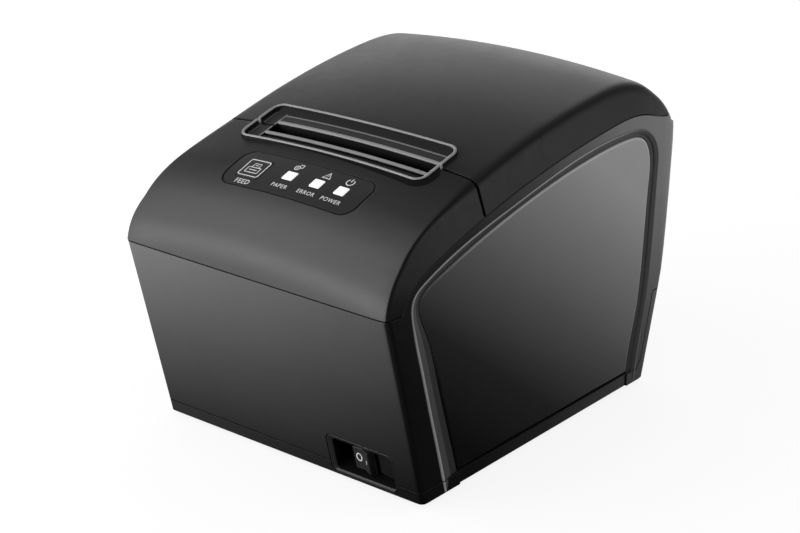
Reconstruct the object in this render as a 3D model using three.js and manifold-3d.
// Desktop receipt printer for 80 mm paper, with its covers, print mechanism, cutter and boards.
// Millimetres, +Z up, front towards -Y, left is -X. In this file y runs from 0 at the foremost
// point of the front to DEPTH at the rear, and z from 0 at the underside of the base. The inner
// group moves the origin to the middle of the footprint, on the plane of the feet.
import * as THREE from 'three';
import { mergeVertices } from 'three/addons/utils/BufferGeometryUtils.js';
import Module from 'manifold-3d';

const wasm = await Module();
wasm.setup();

// ---- driving dimensions ---------------------------------------------------------------------
const DEPTH = 192.5;          // front curve to rear wall
const HALF_TRIM = 70.5;       // half the width over the side trims
const HALF_SEAM = 70.1;       // half the width at the cover seams
const WALL = 2.2;             // moulded wall
const SIDE_WALL = 4.0;        // housing side wall, which carries the panel pockets
const FOOT_H = 2.0;           // rubber foot below the base
const GAP = 0.3;              // between neighbouring mouldings
const FRONT_FOOT_Y = 19;      // y of the front face at the underside
const FRONT_LEAN = Math.atan2(18, 79.1);  // front face leans back towards its foot
const SIDES = [['left', -1], ['right', 1]];

// Axes along x, each given as [y, z]
const HINGE = [188.4, 115.2];   // top cover hinge
const PLATEN = [68.4, 100];     // platen roller
const IDLER = [71.03, 79.27];   // idler of the feed gear train
const MOTOR = [62.18, 63.94];   // feed motor
const HEAD_AXIS = [56.5, 85.5]; // print head pivot
const PIN_R = 1.5;              // hinge pins and print head pivot

// ---- outlines -------------------------------------------------------------------------------
const arc = ([x, y], r, start, sweep, steps) => Array.from({ length: steps + 1 }, (_, i) => {
  const a = start + (sweep * i) / steps;
  return [x + r * Math.cos(a), y + r * Math.sin(a)];
});
const circle = (centre, r, sides) => arc(centre, r, 0, 2 * Math.PI, sides).slice(0, -1);
const roundedRect = (x0, y0, x1, y1, r, steps) => [
  [x1 - r, y1 - r], [x0 + r, y1 - r], [x0 + r, y0 + r], [x1 - r, y0 + r],
].flatMap((corner, i) => arc(corner, r, (i * Math.PI) / 2, Math.PI / 2, steps));
const centredRect = (halfX, halfY, r, steps) => roundedRect(-halfX, -halfY, halfX, halfY, r, steps);

const area = (points) => points.reduce((sum, [x, y], i) => {
  const [nextX, nextY] = points[(i + 1) % points.length];
  return sum + x * nextY - nextX * y;
}, 0) / 2;
const ccw = (points) => (area(points) < 0 ? [...points].reverse() : points);

// Moves each side of a closed outline inwards by t, keeping the order of its points.
const inset = (points, t) => {
  const unitNormal = (a, b) => {
    const length = Math.hypot(b[0] - a[0], b[1] - a[1]);
    return [(a[1] - b[1]) / length, (b[0] - a[0]) / length];
  };
  const loop = ccw(points);
  const moved = loop.map((point, i) => {
    const u = unitNormal(loop.at(i - 1), point);
    const v = unitNormal(point, loop[(i + 1) % loop.length]);
    const reach = t / Math.max(0.35, 1 + u[0] * v[0] + u[1] * v[1]);
    return [point[0] + (u[0] + v[0]) * reach, point[1] + (u[1] + v[1]) * reach];
  });
  return area(points) < 0 ? moved.reverse() : moved;
};

// ---- geometry and solids --------------------------------------------------------------------
const shapeOf = (points) => new THREE.Shape(ccw(points).map(([x, y]) => new THREE.Vector2(x, y)));
const extrude = (points, depth) => new THREE.ExtrudeGeometry(
  shapeOf(points), { depth, bevelEnabled: false, steps: 1 });
// Outline (x, y) along z, (y, z) along x and (x, z) along y
const Z_X_Y = new THREE.Matrix4().set(0, 0, 1, 0, 1, 0, 0, 0, 0, 1, 0, 0, 0, 0, 0, 1);
const prismGeoZ = (points, z0, z1) => extrude(points, z1 - z0).translate(0, 0, z0);
const prismGeoX = (points, x0, x1) => extrude(points, x1 - x0)
  .applyMatrix4(Z_X_Y).translate(x0, 0, 0);
const prismGeoY = (points, y0, y1) => extrude(points, y1 - y0)
  .rotateX(Math.PI / 2).translate(0, y1, 0);
const boxGeo = (x0, y0, z0, x1, y1, z1) => new THREE.BoxGeometry(x1 - x0, y1 - y0, z1 - z0)
  .translate((x0 + x1) / 2, (y0 + y1) / 2, (z0 + z1) / 2);

const toManifold = (geometry) => {
  const bare = geometry.index ? geometry.toNonIndexed() : geometry.clone();
  for (const name of Object.keys(bare.attributes)) {
    if (name !== 'position') bare.deleteAttribute(name);
  }
  const merged = mergeVertices(bare, 1e-4);
  return new wasm.Manifold(new wasm.Mesh({
    numProp: 3,
    vertProperties: new Float32Array(merged.attributes.position.array),
    triVerts: new Uint32Array(merged.index.array),
  }));
};
const toGeometry = (solid) => {
  const mesh = solid.getMesh();
  const geometry = new THREE.BufferGeometry();
  const positions = new Float32Array(mesh.vertProperties);
  geometry.setAttribute('position', new THREE.BufferAttribute(positions, 3));
  geometry.setIndex(new THREE.BufferAttribute(new Uint32Array(mesh.triVerts), 1));
  geometry.computeVertexNormals();
  return geometry;
};
const cut = (solid, ...tools) => tools.reduce((rest, tool) => rest.subtract(tool), solid);
const join = (solid, ...others) => others.reduce((sum, other) => sum.add(other), solid);
const common = (solid, ...others) => others.reduce((sum, other) => sum.intersect(other), solid);

const prismZ = (points, z0, z1) => toManifold(prismGeoZ(points, z0, z1));
const prismX = (points, x0, x1) => toManifold(prismGeoX(points, x0, x1));
const box = (...corners) => toManifold(boxGeo(...corners));
const rodX = (axis, r, x0, x1, sides) => prismX(circle(axis, r, sides), x0, x1);
const rodZ = (axis, r, z0, z1, sides) => prismZ(circle(axis, r, sides), z0, z1);
const posts = (spots, r, z0, z1) => spots.map((spot) => rodZ(spot, r, z0, z1, 12));

// The range x0..x1 on the right, or its mirror image on the left
const span = (side, x0, x1) => (side < 0 ? [-x1, -x0] : [x0, x1]);
const mirrored = (make, x0, x1) => join(make(-x1, -x0), make(x0, x1));
const prismPair = (points, x0, x1) => mirrored((a, b) => prismX(points, a, b), x0, x1);
const rodPair = (axis, r, x0, x1, sides) => prismPair(circle(axis, r, sides), x0, x1);
const boxPair = (x0, y0, z0, x1, y1, z1) => mirrored((a, b) => box(a, y0, z0, b, y1, z1), x0, x1);
const mirrorSpots = (x, ...ys) => ys.flatMap((y) => [[-x, y], [x, y]]);

// Places on the front face: x across, y inwards, z up the face, 0 at the underside
const onFront = (geometry) => geometry
  .applyMatrix4(new THREE.Matrix4().makeRotationX(FRONT_LEAN)).translate(0, FRONT_FOOT_Y, 0);
const faceBox = (...corners) => toManifold(onFront(boxGeo(...corners)));
const facePrism = (points, y0, y1) => toManifold(onFront(prismGeoY(points, y0, y1)));

// ---- outer form -----------------------------------------------------------------------------
// Each row is one line across the body, from the foot of the front, over the top, to the foot of
// the rear: y, z on the centre line, y, z where it meets the flat side, crease half-width,
// crease radius, crown (drop at x is crown * x^2)
const CROWN = 0.0009;
const ROWS = [
  [FRONT_FOOT_Y, 0, 23.5, 0, 70.0, 2.8, 0],
  [18, 4.4, 22.4, 4.4, 70.0, 2.9, 0],
  [9, 43.9, 15.8, 43.9, 69.8, 4.6, 0],
  [0.05, 83.2, 9.5, 83.0, 69.6, 6.2, 0],
  [0, 86, 10.9, 85.9, 69.4, 6.2, 0.0001],
  [0.6, 90, 12.4, 88.6, 69.2, 6, 0.0003],
  [1.9, 94.6, 13.6, 90.6, 68.9, 5.6, 0.0005],
  [4, 98.6, 16, 92.3, 68.5, 5.2, 0.0007],
  [8, 103.2, 18.7, 93.8, 68, 5, CROWN],
  [12, 107.2, 21, 94.9, 67.5, 4.6, CROWN],
  [17, 110.9, 24, 96.2, 67.2, 4.3, CROWN],
  [28, 115.4, 31, 98.9, 66.6, 4, CROWN],
  [41, 119.4, 42.5, 102.6, 66.1, 4, CROWN],
  [60, 125.6, 60, 108, 65, 4, CROWN],
  [80, 130.4, 80, 111.7, 65, 4, CROWN],
  [100, 134.1, 100, 116.2, 65, 4, CROWN],
  [120, 137.1, 120, 119.3, 65, 4, CROWN],
  [140, 139, 140, 121.1, 65, 4, CROWN],
  [152, 139.3, 152, 121.6, 65, 4, CROWN],
  [164, 138.5, 162.5, 122.2, 65, 4, CROWN],
  [172, 136.3, 168, 121.2, 65.5, 4.2, CROWN],
  [178, 133.2, 172, 119.2, 66.2, 4.6, CROWN],
  [183, 129, 175.8, 117.7, 67.2, 5.2, 0.0008],
  [187, 124, 179.5, 116.9, 68.2, 6, 0.0005],
  [189.2, 118.5, 182, 116.4, 69.2, 7, 0.0002],
  [189.9, 115, 183.2, 115.4, 69.9, 7.5, 0],
  [190.05, 112.7, 184, 113.6, 70, 8, 0],
  [192.2, 112, 184.4, 112, 70, 8, 0],
  [DEPTH, 110, 184.5, 110, 70, 8, 0],
  [192.4, 104, 184.4, 104, 70, 8, 0],
  [190.3, 77.7, 182.3, 77.7, 70, 8, 0],
  [186.4, 46.5, 178.4, 46.5, 70, 8, 0],
  [184.3, 38.8, 176.3, 38.8, 70, 8, 0],
  [174, 3.5, 166, 3.5, 70, 8, 0],
  [173, 0, 165, 0, 70, 8, 0],
];

const mix = (a, b, t) => a.map((value, i) => value + (b[i] - value) * t);

// The rows as lines of 3D points from left to right, moved inwards by t, and by sideT in x.
const crossLines = (t, sideT) => {
  const centre = inset(ROWS.map(([y, z]) => [y, z]), t);
  const side = inset(ROWS.map(([, , y, z]) => [y, z]), t);
  const seamX = HALF_SEAM - sideT;
  return ROWS.map(([, , , , creaseX, creaseR, crown], k) => {
    const [y, z] = centre[k];
    const before = centre.at(k - 1);
    const after = centre[(k + 1) % centre.length];
    const run = [after[0] - before[0], after[1] - before[1]];
    const runLength = Math.hypot(...run);
    // rows run clockwise seen with y to the right, so inwards is to the right of travel
    const crowned = (x) => {
      const drop = (crown * x * x) / runLength;
      return [x, y + run[1] * drop, z - run[0] * drop];
    };
    const cornerX = Math.min(creaseX - sideT, seamX - 0.05);
    const radius = Math.max(0.8, creaseR - t);
    const bendX = cornerX - radius;
    const bend = crowned(bendX);
    const corner = crowned(cornerX);
    const edge = [seamX, ...side[k]];
    const flank = Math.hypot(...edge.map((value, i) => value - corner[i]));
    const bendEnd = mix(corner, edge, Math.min(0.96, radius / flank));
    const half = [
      ...[0, 0.52].map((f) => crowned(bendX * f)),
      bend,
      mix(mix(bend, corner, 0.5), mix(corner, bendEnd, 0.5), 0.5),
      bendEnd,
      edge,
    ];
    return [...half.slice(1).reverse().map(([px, ...rest]) => [-px, ...rest]), ...half];
  });
};

// The whole outer form, moved inwards by t, and by sideT at the sides, as one closed solid.
const form = (t, sideT = t) => {
  const lines = crossLines(t, sideT);
  const last = lines[0].length - 1;
  const leftHub = [sideT - HALF_SEAM, 98, 55];
  const rightHub = [HALF_SEAM - sideT, 98, 55];
  const corners = lines.flatMap((a, k) => {
    const b = lines[(k + 1) % lines.length];
    const strip = a.slice(0, last).flatMap((point, j) => [
      point, a[j + 1], b[j + 1],
      point, b[j + 1], b[j],
    ]);
    // flat sides, each a fan round a hub well inside the outline
    return [...strip, a[0], b[0], leftHub, b[last], a[last], rightHub];
  });
  const geometry = new THREE.BufferGeometry();
  geometry.setAttribute('position', new THREE.BufferAttribute(new Float32Array(corners.flat()), 3));
  return toManifold(geometry);
};

const whole = form(0);
const shell = cut(whole, form(WALL));

// Seam between the covers and the housing, on the flat side behind the front corner: y, z
const SEAM_FRONT = [9.5, 83.35];
const SEAM = [
  [11.4, 87], [13.6, 90.6], [16, 92.3], [18.7, 93.8], [24, 96.2], [31, 98.9], [42.5, 102.6],
  [60, 108], [80, 111.7], [100, 116.2], [120, 119.3], [140, 121.1], [152, 121.6],
  [162.5, 122.2], [168, 121.2], [172, 119.2], [175.8, 117.7], [179.5, 117.0],
];
const SEAM_GAP = 0.2;       // from the seam line to each moulding
const COVER_EDGE = 58.3;    // rear edge of the front cover
const LID_EDGE = 59.0;      // front edge of the top cover
// The seam raised by gap, run out beyond the body, at height rearZ behind the flat side
const seamLine = (gap, rearZ) => [
  [-20, SEAM_FRONT[1] + gap], [SEAM_FRONT[0], SEAM_FRONT[1] + gap],
  ...SEAM.map(([y, z]) => [y - gap * 0.5, z + gap]), [184, rearZ], [220, rearZ],
];
// The part of the covers' shell above the seam between y0 and y1
const shellAboveSeam = (y0, y1, rearZ) => common(
  shell,
  prismX([...seamLine(SEAM_GAP, rearZ), [220, 200], [-20, 200]], -90, 90),
  box(-90, y0, 50, 90, y1, 220));

// ---- group and materials --------------------------------------------------------------------
const part = new THREE.Group();
const design = new THREE.Group();
design.position.set(0, -DEPTH / 2, FOOT_H);
part.add(design);

const FINISH = {
  black: { color: 0x1f1f20, roughness: 0.5, metalness: 0 },
  greyBlack: { color: 0x38393a, roughness: 0.5, metalness: 0 },
  gloss: { color: 0x17181a, roughness: 0.12, metalness: 0 },
  trim: { color: 0x6c6c6d, roughness: 0.35, metalness: 0 },
  steel: { color: 0xb4b6b8, roughness: 0.3, metalness: 1 },
  zinc: { color: 0x9da0a2, roughness: 0.45, metalness: 0.9 },
  rubber: { color: 0x1a1a1a, roughness: 0.9, metalness: 0 },
  nylon: { color: 0xe4e1d8, roughness: 0.55, metalness: 0 },
  white: { color: 0xf4f4f2, roughness: 0.4, metalness: 0 },
  board: { color: 0x1e5a38, roughness: 0.45, metalness: 0 },
};
const place = (name, shape, finish) => {
  const geometry = shape.isBufferGeometry ? shape : toGeometry(shape);
  const mesh = new THREE.Mesh(geometry, new THREE.MeshStandardMaterial(finish));
  mesh.name = name;
  design.add(mesh);
};

// ---- base tray: floor, low rim and the rear connector wall ----------------------------------
const FOOT_SPOTS = mirrorSpots(54, 34, 154);
const MECH_SPOTS = mirrorSpots(38, 47, 76);     // posts under the mechanism frame
const BOARD_SPOTS = mirrorSpots(56, 90, 152);   // posts under the main board
// Connectors in the rear wall: x0, x1, z0, z1
const PORTS = {
  drawer_socket: [-52, -39, 12.8, 26.0],
  serial_socket: [-34, -3, 12.8, 25.4],
  lan_socket: [2, 18, 12.8, 26.4],
  usb_socket: [22.5, 34.5, 12.8, 23.9],
  power_socket: [39.5, 54, 12.8, 26.0],
};
const PORT_GAP = 0.5;
// Region of the base, and below it the lower edge of the housing, rear to front: y, z
const BASE_REGION = [
  [-20, -20], [260, -20], [260, 38.45], [176.155, 38.45], [176.15, 37.9], [168.45, 9.3],
  [165.15, 5.45], [-20, 5.45],
];
const HOUSING_FOOT = [
  [220, 38.95], [176.3, 38.95], [175.7, 38.1], [168.0, 9.5], [164.8, 5.95], [-20, 5.95],
];
// Recess for the power switch, on the front face
const SWITCH_POCKET = roundedRect(23.6, 1.2, 58, 19.6, 3, 4);
const switchRecess = facePrism(inset(SWITCH_POCKET, -GAP), -4, 6);

const baseTray = () => {
  const tray = cut(common(whole, prismX(BASE_REGION, -90, 90)), form(2.4));
  const ports = Object.values(PORTS).map(([x0, x1, z0, z1]) => box(
    x0 - PORT_GAP, 165, z0 - PORT_GAP, x1 + PORT_GAP, 200, z1 + PORT_GAP));
  const fitted = join(
    tray, ...posts(MECH_SPOTS, 3.5, 1.5, 33.7), ...posts(BOARD_SPOTS, 3, 1.5, 10.7));
  return cut(fitted, ...ports, switchRecess);
};
place('base_tray', baseTray(), FINISH.black);
FOOT_SPOTS.forEach((spot, i) => {
  place(`rubber_foot_${i + 1}`, prismGeoZ(circle(spot, 7, 16), -FOOT_H, 0), FINISH.rubber);
});

// ---- main housing: front, sides and rear in one moulding ------------------------------------
const BORE_R = PIN_R + 0.3;
const KNUCKLE_R = 3;
const KNUCKLE_CLEAR_R = 3.5;
const SIDE_X = 57;          // the housing rises higher at the rear outside this x
// Outer edge of the side trim and outline of the side panel: y, z
const TRIM_OUTLINE = [
  [33.5, 1.1], [23.7, 42.5], [13.9, 82.7], [14.6, 86.2], [17.2, 90.4], [22.5, 92.7],
  [30.6, 95.6], [59.1, 103.6], [80, 108.3], [106.2, 112.9], [133.6, 116.0], [152.8, 116.6],
  [162.3, 116.0], [168.3, 114.2], [173.2, 110.8], [176.6, 105.9], [177.6, 102.6],
  [175.7, 80], [173.2, 50], [167.6, 23], [164.4, 1.1],
];
const PANEL_OUTLINE = [
  [40, 1.2], [29.6, 39.8], [20.9, 73.7], [19.0, 82], [19.6, 86.6], [23.5, 89.2], [42, 94.6],
  [68.9, 103.0], [100, 108.2], [127.2, 111.6], [153, 113.2], [162, 112.6], [168.4, 110.4],
  [171.4, 105.4], [171.2, 100], [169.3, 80], [166.8, 51.4], [161.2, 23.1], [157.4, 1.2],
];
const SIDE_FOOT_Z = 6.2;    // lower end of the side pockets
const POCKET_X = 68.3;
const TRIM_X = POCKET_X + GAP;
const above = (z) => box(-90, -20, z, 90, 220, 200);

const mainHousing = () => {
  const body = cut(whole, form(WALL, SIDE_WALL));
  const region = (rearZ, x0, x1) => common(
    body, prismX([...seamLine(-SEAM_GAP, rearZ), ...HOUSING_FOOT], x0, x1));
  // hinge knuckles stand on the rear wall
  const knuckle = (x0, x1) => join(
    rodX(HINGE, KNUCKLE_R, x0, x1, 16),
    box(x0, HINGE[0] - KNUCKLE_R, 104, x1, 191.5, HINGE[1] - 0.5));
  return cut(
    join(region(111.8, -SIDE_X, SIDE_X), region(116.5, -90, -SIDE_X), region(116.5, SIDE_X, 90),
      mirrored(knuckle, 55.2, 60)),
    rodX(HINGE, KNUCKLE_CLEAR_R, -55.1, 55.1, 16),
    rodPair(HINGE, BORE_R, 50, 59, 16),
    common(prismPair(TRIM_OUTLINE, POCKET_X, 90), above(SIDE_FOOT_Z)),
    switchRecess);
};
place('main_housing', mainHousing(), FINISH.black);

// ---- side trims and glossy side panels ------------------------------------------------------
const aboveTrimFoot = above(SIDE_FOOT_Z + GAP);
const sideTrim = (side) => cut(
  common(prismX(inset(TRIM_OUTLINE, GAP), ...span(side, TRIM_X, HALF_TRIM)), aboveTrimFoot),
  prismX(inset(PANEL_OUTLINE, -GAP), ...span(side, 60, 80)));
const sidePanel = (side) => common(
  prismX(PANEL_OUTLINE, ...span(side, TRIM_X, 69.7)), aboveTrimFoot);
for (const [name, side] of SIDES) {
  place(`side_trim_${name}`, sideTrim(side), FINISH.trim);
  place(`side_panel_${name}`, sidePanel(side), FINISH.gloss);
}

// ---- front cover and control panel ----------------------------------------------------------
// Outline extruded through the top of the body
const throughTop = (points) => prismZ(points, 90, 150);
const SLOT = roundedRect(-47.9, 45.0, 47.9, 72.6, 5.5, 4);   // outside of the slot surround
const slotOpening = throughTop(inset(SLOT, -0.25));
const LABEL = roundedRect(-35, 19, 35, 39.6, 6, 4);
const FEED = { x: -23.4, y: 29.9, half: 5.4 };
// Lenses: name, centre x, y, width, height
const LEDS = [
  ['paper', -5, 30.5, 5.8, 5.2], ['error', 9.5, 30.4, 5.6, 5.0], ['power', 22, 30.5, 5.4, 5.0],
];

const surfaceZ = (x, y) => {
  const k = ROWS.findIndex(([rowY], i) => rowY <= y && y <= ROWS[i + 1][0]);
  const [y0, z0, , , , , crown] = ROWS[k];
  const [y1, z1] = ROWS[k + 1];
  return z0 + ((z1 - z0) * (y - y0)) / (y1 - y0) - crown * x * x;
};
// Frame lying on the top surface at x, y, with its z axis along the outward normal
const panelFrame = (x, y) => {
  const slope = (surfaceZ(x, y + 4) - surfaceZ(x, y - 4)) / 8;
  const normal = new THREE.Vector3(2 * CROWN * x, -slope, 1).normalize();
  const across = new THREE.Vector3(1, 0, -2 * CROWN * x).normalize();
  const up = normal.clone().cross(across).normalize();
  return new THREE.Matrix4().makeBasis(across, up, normal).setPosition(x, y, surfaceZ(x, y));
};
const prismIn = (frame, points, z0, z1) => toManifold(prismGeoZ(points, z0, z1)
  .applyMatrix4(frame));

const feedFrame = panelFrame(FEED.x, FEED.y);
const feedHalfHole = FEED.half + 0.35;
const panelHoles = [
  prismIn(feedFrame, centredRect(feedHalfHole, feedHalfHole, 1.2, 2), -8, 4),
  ...LEDS.map(([, x, y, width, height]) => prismIn(
    panelFrame(x, y), centredRect(width / 2 + 0.3, height / 2 + 0.3, 0.4, 1), -8, 4)),
];

// The label lies in a shallow recess in the cover
const frontCover = cut(
  shellAboveSeam(-20, COVER_EDGE, 117.4),
  slotOpening,
  cut(throughTop(LABEL), form(0.75)),
  ...panelHoles);
place('front_cover', frontCover, FINISH.greyBlack);

const label = cut(
  common(throughTop(inset(LABEL, GAP)), form(0.05)), form(0.5), ...panelHoles);
place('control_panel_label', label, FINISH.black);

const feedStemHalf = FEED.half - 3;
const feedButton = join(
  prismIn(feedFrame, centredRect(FEED.half, FEED.half, 1.0, 2), -4.2, 0),
  prismIn(feedFrame, centredRect(feedStemHalf, feedStemHalf, 0.5, 1), -5.6, -4));
place('feed_button', feedButton, FINISH.black);
for (const [name, x, y, width, height] of LEDS) {
  const lens = prismIn(panelFrame(x, y), centredRect(width / 2, height / 2, 0.3, 1), -5.2, 0);
  place(`${name}_led_lens`, lens, FINISH.white);
}
// circuit board under the control panel, parallel to it, notched at its right rear
const controlBoard = cut(
  prismIn(panelFrame(0, 27.5), roundedRect(-34, -9, 34, 8, 1, 1), -10.6, -9.0),
  box(16, 34.6, 90, 34, 60, 130));
place('control_board', controlBoard, FINISH.board);
place('feed_switch', prismIn(feedFrame, centredRect(3, 3, 0.3, 1), -8.0, -6.4), FINISH.black);

// ---- top cover ------------------------------------------------------------------------------
const BRACKET_SPOTS = mirrorSpots(38, 88, 76);   // bosses for the platen bracket
const EAR_END = 54.7;                            // outer end of the cover's hinge knuckles

// The bore inside each knuckle starts 1 mm in from its left end, so only the left one is open
// at both ends.
const lidKnuckle = (x0, x1) => cut(
  join(
    rodX(HINGE, KNUCKLE_R, x0, x1, 16),
    common(box(x0, HINGE[0] - KNUCKLE_R, HINGE[1], x1, 191, 122), form(0.4))),
  rodX(HINGE, BORE_R, x0 + 1, x1 + 1, 16));

const topCover = () => {
  const skin = cut(
    join(
      shellAboveSeam(LID_EDGE, 220, 117.3),
      common(shell, box(-56.6, 184.6, 112.3, 56.6, 190.0, 118))),
    slotOpening);
  const bosses = posts(BRACKET_SPOTS, 3.2, 118.9, 140);
  const bossed = cut(
    join(skin, common(join(...bosses), form(WALL - 0.4))),
    ...posts(BRACKET_SPOTS, 1.6, 100, 124),
    // clearance round the housing knuckles
    rodPair(HINGE, KNUCKLE_CLEAR_R, EAR_END, 70, 16));
  return cut(
    join(bossed, mirrored(lidKnuckle, 48, EAR_END)),
    rodPair(HINGE, BORE_R, 49, 60, 16));
};
place('top_cover', topCover(), FINISH.greyBlack);
for (const [name, side] of SIDES) {
  const pin = prismGeoX(circle(HINGE, PIN_R, 16), ...span(side, 49.3, 58.7));
  place(`hinge_pin_${name}`, pin, FINISH.steel);
}

// ---- slot surround: a raised rim, its front half on the front cover, its rear on the top ----
const TEAR_Y = 56.2;        // front half ends 2.2 in front of this over the paper width
const LIP_Y = 64.6;         // front of the lip behind the slot
const rimWall = common(
  cut(throughTop(SLOT), prismZ(inset(SLOT, 1.6), 80, 160)),
  cut(form(-2.2), form(3.0)));
const rimFloor = common(throughTop(inset(SLOT, 0.5)), cut(form(2.8), form(4.2)));
const rimBetween = (y0, y1) => {
  const zone = box(-60, y0, 90, 60, y1, 150);
  return join(common(rimWall, zone), common(rimFloor, zone));
};
const rimFront = cut(rimBetween(30, 58.1), box(-41.7, TEAR_Y - 2.2, 90, 41.7, 70, 150));
place('slot_rim_front', rimFront, FINISH.trim);
const rimRear = join(
  cut(rimBetween(LID_EDGE + 0.2, 90), box(-42.7, 50, 90, 42.7, LIP_Y, 150)),
  common(box(-42.6, LIP_Y, 118.5, 42.6, LIP_Y + 1.8, 123.0), whole));
place('slot_rim_rear', rimRear, FINISH.trim);

// serrated tear bar at the front of the slot
const TEAR = { half: 41.4, teeth: 27, foot: 116.2, root: 120.6, tip: 121.6 };
const tearPitch = (2 * TEAR.half) / TEAR.teeth;
const tearOutline = [
  ...Array.from({ length: TEAR.teeth }, (_, i) => {
    const x = -TEAR.half + tearPitch * i;
    return [[x, TEAR.root], [x + tearPitch / 2, TEAR.tip]];
  }).flat(),
  [TEAR.half, TEAR.root], [TEAR.half, TEAR.foot], [-TEAR.half, TEAR.foot],
];
place('tear_bar', prismGeoY(tearOutline, TEAR_Y - 1.8, TEAR_Y - 0.8), FINISH.steel);

// ---- power switch, placed on the front face -------------------------------------------------
const SWITCH = { x: 39.2, z: 9.4 };
const switchWell = cut(
  join(
    facePrism(SWITCH_POCKET, 0.1, 1.5),
    facePrism(roundedRect(24.6, 2.0, 57, 18.8, 2, 3), 1.2, 10.2)),
  facePrism(roundedRect(26, 3.2, 55.6, 17.4, 1.5, 3), -4, 8.6),
  faceBox(SWITCH.x - 5.9, 5, 3.2, SWITCH.x + 5.9, 20, SWITCH.z + 6.3));
place('switch_pocket', switchWell, FINISH.black);
const switchBody = cut(
  faceBox(SWITCH.x - 5.6, 3.8, SWITCH.z - 6.0, SWITCH.x + 5.6, 22, SWITCH.z + 6.0),
  faceBox(SWITCH.x - 4.85, 3, SWITCH.z - 5.6, SWITCH.x + 4.85, 8.4, SWITCH.z + 5.5));
place('power_switch_body', switchBody, FINISH.black);

// Rocker, turned about an axis up the face, its right side standing out. Outline: x, y from axis
const ROCKER_Y = 5.2;
const ROCKER_TILT = THREE.MathUtils.degToRad(-10);
const ROCKER = [
  [-4.4, 0.2], [-4.5, -3.0], [0, -2.2], [4.5, -3.0], [4.4, 0.2], [1.2, 1.6], [-1.2, 1.6],
];
const rockerOutline = ROCKER.map(([x, y]) => [
  SWITCH.x + x * Math.cos(ROCKER_TILT) - y * Math.sin(ROCKER_TILT),
  ROCKER_Y + x * Math.sin(ROCKER_TILT) + y * Math.cos(ROCKER_TILT),
]);
const rocker = onFront(prismGeoZ(rockerOutline, SWITCH.z - 5.4, SWITCH.z + 5.3));
place('power_rocker', rocker, FINISH.black);

// ---- print mechanism frame: two side plates on a floor plate --------------------------------
const PLATE_IN = 45.2;      // inner and outer faces of the side plates
const PLATE_OUT = 47.2;
// Side plate: y, z, with a round cradle under the platen bushes
const SIDE_PLATE = [
  [42, 34], [81, 34], [81, 106], [74.6, 106], [74.6, 100],
  ...arc(PLATEN, 6.2, 0, -Math.PI, 8).slice(1, 8),
  [61.6, 100], [61.6, 104], [50, 104], [42, 96],
];
const mechanismFrame = cut(
  join(
    prismPair(SIDE_PLATE, PLATE_IN, PLATE_OUT),
    box(-PLATE_OUT, 42, 34, PLATE_OUT, 81, 36),
    box(-PLATE_OUT, 44.5, 88, PLATE_OUT, 45.9, 100)),
  ...posts(MECH_SPOTS, 1.7, 20, 50),
  rodX(MOTOR, 3.2, -60, -40, 12),
  rodX(IDLER, 2.3, -60, -40, 12),
  rodX(HEAD_AXIS, 1.8, -60, 60, 12));
place('mechanism_frame', mechanismFrame, FINISH.zinc);

// ---- print head on its pivot, with two springs on its front side ----------------------------
const HEAD_FOOT = [[53.6, 90], [53.6, 84.5], [55, 83], [58, 83], [59.4, 84.5], [59.4, 90]];
const printHead = cut(
  join(box(-40, 53.6, 89, 40, 59.95, 101.5), prismX(HEAD_FOOT, -40, 40)),
  rodX(HEAD_AXIS, 1.8, -60, 60, 12),
  box(-36, 52, 92, 36, 55.4, 99));
place('print_head', printHead, FINISH.zinc);
place('head_pivot_shaft', prismGeoX(circle(HEAD_AXIS, PIN_R, 12), -48.2, 48.2), FINISH.steel);

const SPRING = { x: 24, z: 95.5, y0: 46.9, y1: 54.4, r: 2.6, turns: 3.5, wireR: 0.45 };
class Coil extends THREE.Curve {
  constructor(x) {
    super();
    this.x = x;
  }

  getPoint(t, target = new THREE.Vector3()) {
    const a = 2 * Math.PI * SPRING.turns * t;
    return target.set(
      this.x + SPRING.r * Math.cos(a),
      SPRING.y0 + (SPRING.y1 - SPRING.y0) * t,
      SPRING.z + SPRING.r * Math.sin(a));
  }
}
for (const [name, side] of SIDES) {
  const spring = new THREE.ExtrudeGeometry(
    shapeOf(circle([0, 0], SPRING.wireR, 4)),
    { steps: 30, extrudePath: new Coil(side * SPRING.x), bevelEnabled: false });
  place(`head_spring_${name}`, toManifold(spring), FINISH.steel);
}

// ---- platen roller, carried by the top cover ------------------------------------------------
const BRACKET_SIDE = [
  [60.5, 100], [61.2, 96.5], [63.5, 94], [68.4, 93], [73.5, 94.2], [76, 98], [77, 106],
  [94, 115.5], [94, 118.3], [68.2, 118.3], [68.2, 108], [63, 105.5],
];
const platenBracket = cut(
  join(prismPair(BRACKET_SIDE, 42.3, 44.4), box(-44.4, 68.2, 116.8, 44.4, 94, 118.3)),
  rodX(PLATEN, 3.4, -60, 60, 16),
  ...posts(BRACKET_SPOTS, 1.7, 110, 130));
place('platen_bracket', platenBracket, FINISH.zinc);
place('platen_shaft', prismGeoX(circle(PLATEN, 3, 20), -55.2, 49), FINISH.steel);
const platenRubber = cut(rodX(PLATEN, 8, -41.6, 41.6, 36), rodX(PLATEN, 3.25, -50, 50, 20));
place('platen_rubber', platenRubber, FINISH.rubber);
for (const [name, side] of SIDES) {
  const bush = cut(
    rodX(PLATEN, 5.5, ...span(side, 44.8, 47.8), 24), rodX(PLATEN, 3.3, -60, 60, 20));
  place(`platen_bush_${name}`, bush, FINISH.nylon);
}
for (const [name, side] of SIDES) {
  const spot = [side * 38, 88];
  const screw = join(rodZ(spot, 1.3, 116, 122.5, 10), rodZ(spot, 2.6, 114.7, 116.3, 12));
  place(`bracket_screw_${name}`, screw, FINISH.steel);
}

// ---- feed gears -----------------------------------------------------------------------------
const PRESSURE_ANGLE = Math.PI / 9;
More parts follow.
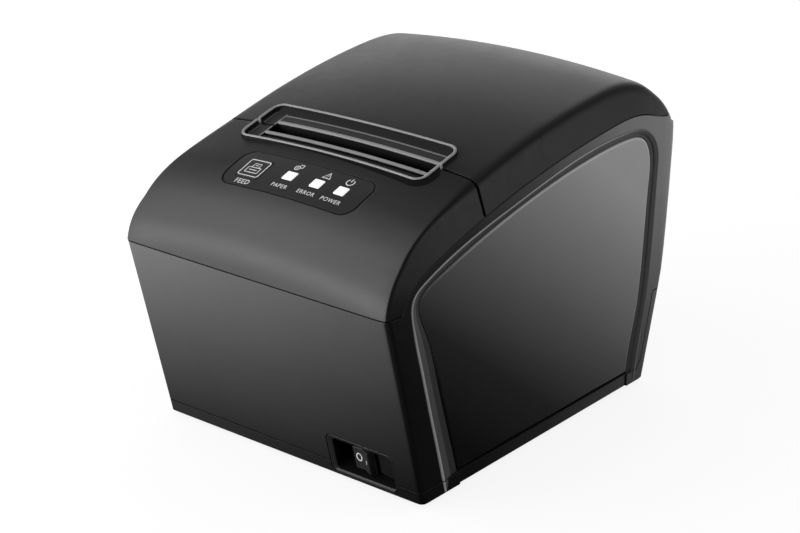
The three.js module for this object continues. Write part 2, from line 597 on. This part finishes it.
// Gear outline with involute flanks; slack is taken off the tooth thickness at the pitch circle
const gear = ({ module, teeth, centre, phase, slack }) => {
  const pitchR = (module * teeth) / 2;
  const baseR = pitchR * Math.cos(PRESSURE_ANGLE);
  const tipR = pitchR + module * 0.95;
  const rootR = pitchR - module * 1.2;
  const involute = (a) => Math.tan(a) - a;
  const halfAngle = (r) => Math.PI / (2 * teeth) + involute(PRESSURE_ANGLE)
    - involute(Math.acos(Math.min(1, baseR / Math.max(r, baseR)))) - slack / (2 * pitchR);
  const flank = [[rootR, -1], [pitchR, -1], [tipR, -1], [tipR, 1], [pitchR, 1], [rootR, 1]];
  return Array.from({ length: teeth }, (_, i) => flank.map(([r, side]) => {
    const a = phase + (2 * Math.PI * i) / teeth + side * halfAngle(r);
    return [centre[0] + r * Math.cos(a), centre[1] + r * Math.sin(a)];
  })).flat();
};

const TEETH = { platen: 20, idler: 32, pinion: 12 };
const feedGear = (teeth, centre, phase) => prismX(
  gear({ module: 0.8, teeth, centre, phase, slack: 0.16 }), -54.5, -49.5);
const heading = (from, to) => Math.atan2(to[1] - from[1], to[0] - from[0]);
const platenPhase = heading(PLATEN, IDLER);
const idlerPhase = heading(IDLER, PLATEN) + Math.PI / TEETH.idler;
// the pinion meshes wherever the idler's teeth stand along the line between the two
const idlerStep = (2 * Math.PI) / TEETH.idler;
const idlerSteps = (heading(IDLER, MOTOR) - idlerPhase) / idlerStep;
const toothFraction = idlerSteps - Math.floor(idlerSteps);
const pinionPhase = heading(MOTOR, IDLER)
  + Math.PI / TEETH.pinion + toothFraction * ((2 * Math.PI) / TEETH.pinion);

const platenGear = cut(
  feedGear(TEETH.platen, PLATEN, platenPhase), rodX(PLATEN, 3.25, -60, -40, 16));
place('platen_gear', platenGear, FINISH.nylon);
const idlerGear = cut(
  feedGear(TEETH.idler, IDLER, idlerPhase), rodX(IDLER, 2.35, -60, -40, 12));
place('idler_gear', idlerGear, FINISH.nylon);
const idlerStud = join(rodX(IDLER, 2, -55.6, -45.0, 12), rodX(IDLER, 3.4, -56.6, -55.0, 12));
place('idler_stud', idlerStud, FINISH.steel);
const motorPinion = join(
  feedGear(TEETH.pinion, MOTOR, pinionPhase), rodX(MOTOR, 1.5, -50, -37.5, 12));
place('motor_pinion', motorPinion, FINISH.steel);
const feedMotor = cut(rodX(MOTOR, 17.5, -44.8, -23, 32), rodX(MOTOR, 1.9, -50, -37, 12));
place('feed_motor', feedMotor, FINISH.zinc);

// ---- cutter: a sliding blade driven by a crank, and a fixed blade ---------------------------
const CRANK = [25, 50];       // crank axis: x, y
const CRANK_THROW = 4;        // half the blade stroke
const CUT_MODULE = 0.6;
const CRANK_TEETH = 24;
const CUT_PINION_TEETH = 12;
const CUT_PINION = [
  CRANK[0], CRANK[1] - (CUT_MODULE * (CRANK_TEETH + CUT_PINION_TEETH)) / 2 - 0.1,
];
const CRANK_PIN = [CRANK[0], CRANK[1] - CRANK_THROW];
const cutterGear = (teeth, centre, phase) => prismZ(
  gear({ module: CUT_MODULE, teeth, centre, phase, slack: 0.12 }), 108.4, 111.6);

const cutterFrame = cut(
  join(
    box(-43.6, 40.4, 106.4, 43.6, 58.8, 108.0),
    boxPair(41.5, 40.4, 106.4, 43.6, 58.8, 114.4),
    rodZ(CRANK, 2, 107, 113.2, 12),
    boxPair(43, 45, 104.5, 47.8, 56, 106.9),
    box(CRANK[0] - 7, CUT_PINION[1] - 3.6, 106.4, CRANK[0] + 7, 42, 108.0)),
  rodZ(CUT_PINION, 2.2, 100, 120, 12));
place('cutter_frame', cutterFrame, FINISH.zinc);

const BLADE = { half: 41, back: 41, front: 58.6, dip: 1.6, z0: 112.0, z1: 112.8 };
const cutterBlade = () => {
  // the cutting edge stands back towards the middle in a shallow V
  const edge = Array.from({ length: 9 }, (_, i) => {
    const x = -BLADE.half + (2 * BLADE.half * i) / 8;
    return [x, BLADE.front - BLADE.dip * (1 - Math.abs(x) / BLADE.half)];
  });
  const [pinX, pinY] = CRANK_PIN;
  const pinSlot = roundedRect(pinX - 5.9, pinY - 2.7, pinX + 5.9, pinY + 2.7, 1.2, 2);
  // room for the fixed post of the crank along the whole stroke
  const postSlot = roundedRect(
    CRANK[0] - 2.5, BLADE.back - 4, CRANK[0] + 2.5, CRANK[1] + 2.6, 1, 1);
  return cut(
    prismZ([...edge, [BLADE.half, BLADE.back], [-BLADE.half, BLADE.back]], BLADE.z0, BLADE.z1),
    prismZ(pinSlot, 100, 120),
    prismZ(postSlot, 100, 120));
};
place('cutter_blade', cutterBlade(), FINISH.steel);
const crankGear = cut(
  join(cutterGear(CRANK_TEETH, CRANK, -Math.PI / 2), rodZ(CRANK_PIN, 1.5, 111, 113.6, 12)),
  rodZ(CRANK, 2.3, 100, 120, 12));
place('cutter_crank_gear', crankGear, FINISH.nylon);
const cutterPinion = join(
  cutterGear(CUT_PINION_TEETH, CUT_PINION, Math.PI / 2 + Math.PI / CUT_PINION_TEETH),
  rodZ(CUT_PINION, 1.2, 98, 109, 10));
place('cutter_pinion', cutterPinion, FINISH.steel);
const cutterMotor = cut(rodZ(CUT_PINION, 4.7, 84, 105, 20), rodZ(CUT_PINION, 1.5, 97, 110, 10));
place('cutter_motor', cutterMotor, FINISH.zinc);
const fixedBlade = join(
  box(-40.5, 63.4, 113.2, 40.5, 67.8, 114.1),
  box(-40.5, 66.6, 113.2, 40.5, 67.8, 116.0));
place('fixed_cutter_blade', fixedBlade, FINISH.steel);

// ---- paper bay: an open trough with end walls and a deck out to the housing -----------------
const ROLL = [126, 78];       // axis of the bay: y, z
const BAY_R = 43.5;
const BAY_HALF = 42.4;        // half the inner width
const BAY_WALL = 2;
const DECK = { z0: 104.6, z1: 106.4, front: 87, rear: 179, half: 65.2 };
const trough = (r, top) => [
  [ROLL[0] + r, top], ...arc(ROLL, r, 0, -Math.PI, 14), [ROLL[0] - r, top],
];
const bayOuterHalf = BAY_HALF + BAY_WALL;
const paperBay = cut(
  join(
    cut(
      prismX(trough(BAY_R + BAY_WALL, DECK.z1), -bayOuterHalf, bayOuterHalf),
      prismX(trough(BAY_R, 150), -BAY_HALF, BAY_HALF)),
    boxPair(BAY_HALF + 0.5, DECK.front, DECK.z0, DECK.half, DECK.rear, DECK.z1),
    box(-BAY_HALF - 1, ROLL[0] + BAY_R + 0.5, DECK.z0, BAY_HALF + 1, DECK.rear, DECK.z1)),
  // sensor window low in the left end wall
  box(-BAY_HALF - 3, 134, 52, -BAY_HALF + 1, 146, 60));
place('paper_bay', paperBay, FINISH.black);
const paperSensor = join(box(-52, 132, 50, -44.8, 148, 62), box(-44.9, 135, 53, -42.9, 145, 59));
place('paper_end_sensor', paperSensor, FINISH.black);

// ---- main board, rear connectors and head cable ---------------------------------------------
place('main_board', box(-62, 84, 11.0, 62, 160, 12.6), FINISH.board);

const SOCKET_WALL = 1.2;
// y of the lower rear wall at height z
const rearWallY = (z) => 174 + ((184.3 - 174) * (z - 3.5)) / (38.8 - 3.5);
const socket = ([x0, x1, z0, z1], hasTongue) => {
  const mouthY = rearWallY(z0) - 0.6;
  const sleeve = cut(
    box(x0, 158, z0, x1, mouthY, z1),
    box(x0 + SOCKET_WALL, mouthY - 9, z0 + SOCKET_WALL,
      x1 - SOCKET_WALL, mouthY + 5, z1 - SOCKET_WALL));
  if (!hasTongue) return sleeve;
  const midX = (x0 + x1) / 2;
  const midZ = (z0 + z1) / 2;
  return join(sleeve, box(midX - 1, 160, midZ - 1, midX + 1, rearWallY(z0) - 3, midZ + 1));
};
const TONGUED = ['power_socket', 'serial_socket'];
const BLACK_PORTS = ['power_socket', 'drawer_socket'];
for (const [name, bounds] of Object.entries(PORTS)) {
  const finish = BLACK_PORTS.includes(name) ? FINISH.black : FINISH.zinc;
  place(name, socket(bounds, TONGUED.includes(name)), finish);
}

// Flat cable from the print head to the main board, along its middle: y, z
const CABLE = [
  [52.8, 91], [52.8, 83], [41.2, 70], [40.2, 60], [40.2, 30], [43, 22.6], [92, 22.6], [92, 13.0],
];
const ribbon = (line, halfThickness) => {
  const edge = (offset) => line.map(([y, z], i) => {
    const before = line[Math.max(0, i - 1)];
    const after = line[Math.min(line.length - 1, i + 1)];
    const run = [after[0] - before[0], after[1] - before[1]];
    const length = Math.hypot(...run);
    return [y - (offset * run[1]) / length, z + (offset * run[0]) / length];
  });
  return [...edge(halfThickness), ...edge(-halfThickness).reverse()];
};
place('head_cable', prismGeoX(ribbon(CABLE, 0.25), -16, 16), FINISH.white);

export default part;
